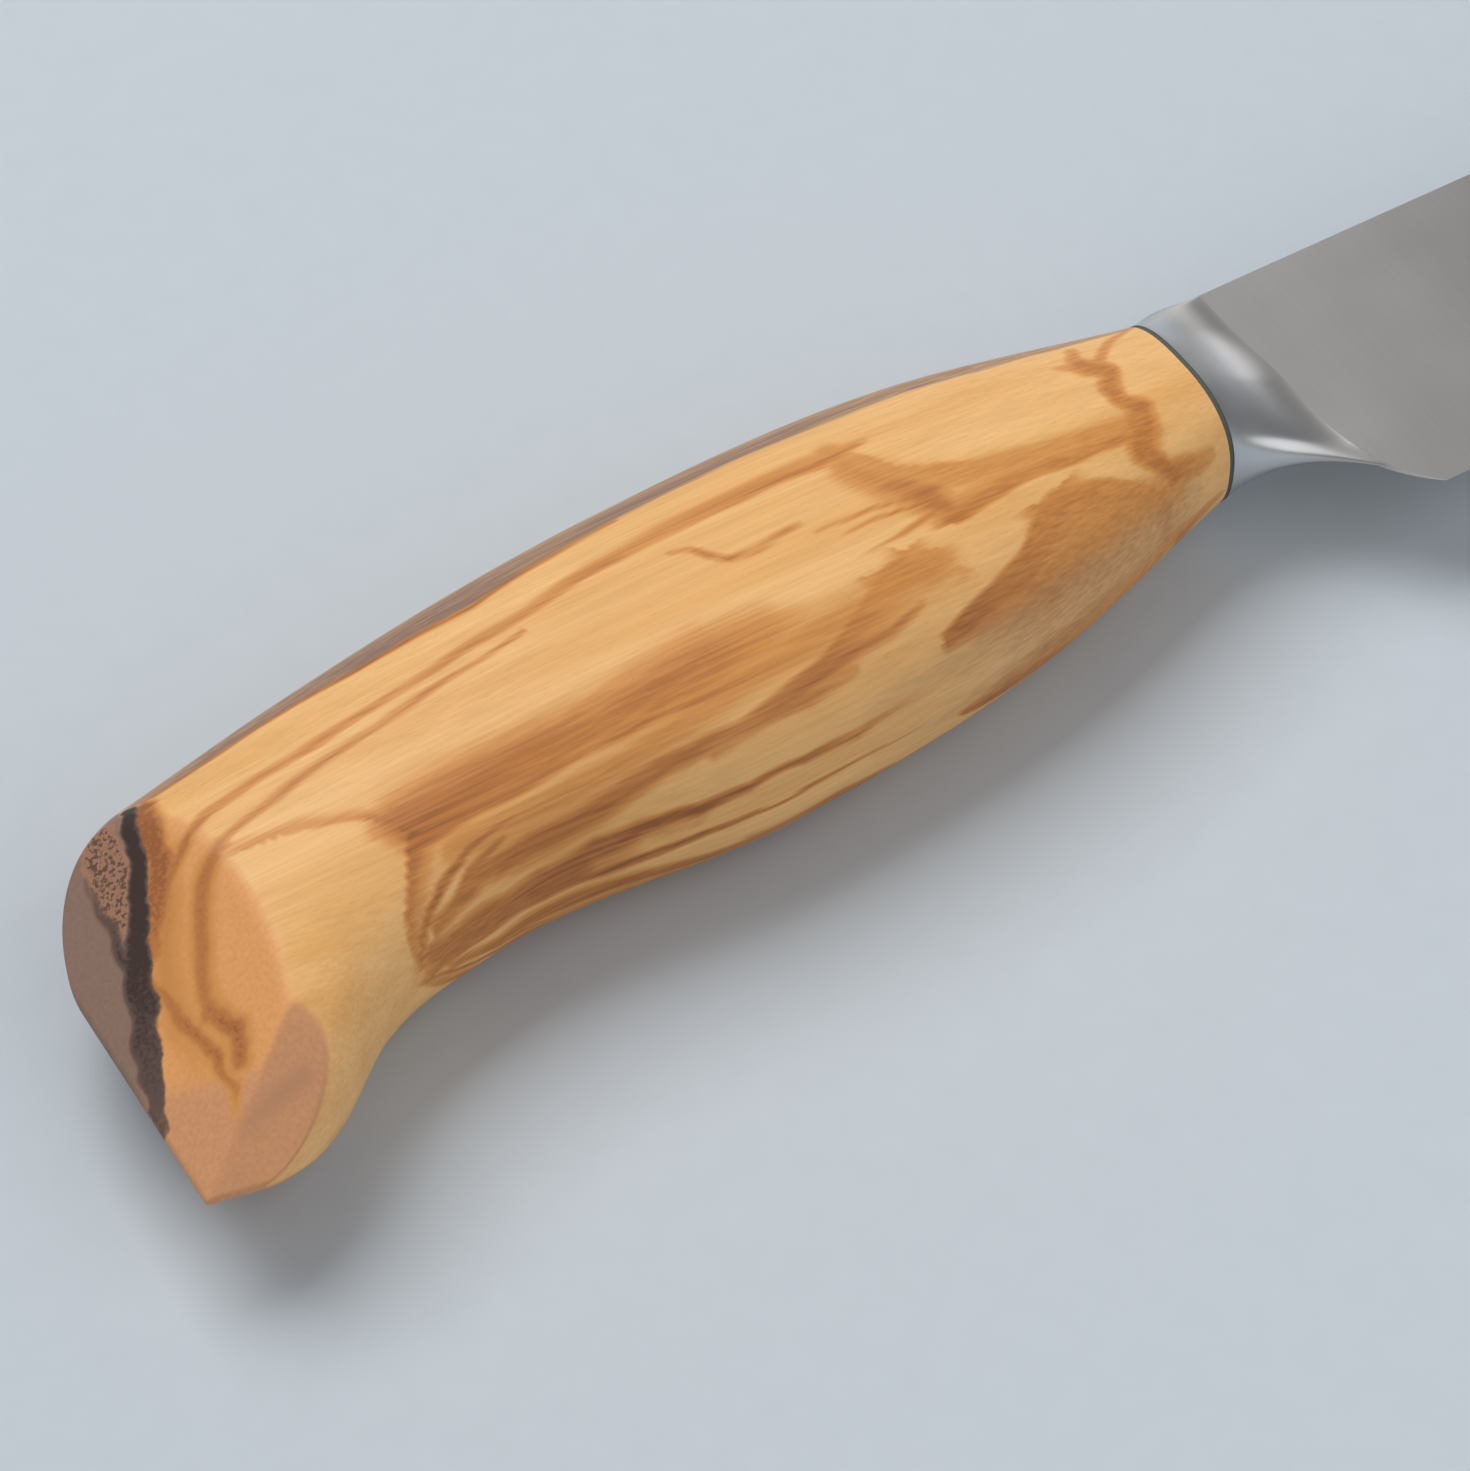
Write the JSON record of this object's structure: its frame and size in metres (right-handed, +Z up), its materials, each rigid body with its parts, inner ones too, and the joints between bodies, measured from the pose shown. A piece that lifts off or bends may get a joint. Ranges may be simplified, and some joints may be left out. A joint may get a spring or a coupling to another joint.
{
  "type": "steak knife",
  "caption": "Steak knife with a straight-edged pointed blade, a polished bolster and a curved wooden handle whose butt ends in a bevelled beak.",
  "frame": {"origin": "middle of the underside of the knife's box, on the surface that the knife lies on", "axes": "+X from the butt to the tip, +Y from the cutting edge to the spine, +Z up from the side it lies on"},
  "size_m": [0.2252, 0.0378, 0.0192],
  "materials": {
    "olive_wood": "oiled, satin",
    "dark_fibre": "matt",
    "polished_steel": "polished",
    "satin_steel": "satin ground",
    "amber_resin": "as cast"
  },
  "bodies": {
    "root": {"handle": "olive_wood", "bolster_liner": "dark_fibre", "bolster": "polished_steel", "blade": "satin_steel", "tang_epoxy": "amber_resin"}
  },
  "joints": []
}
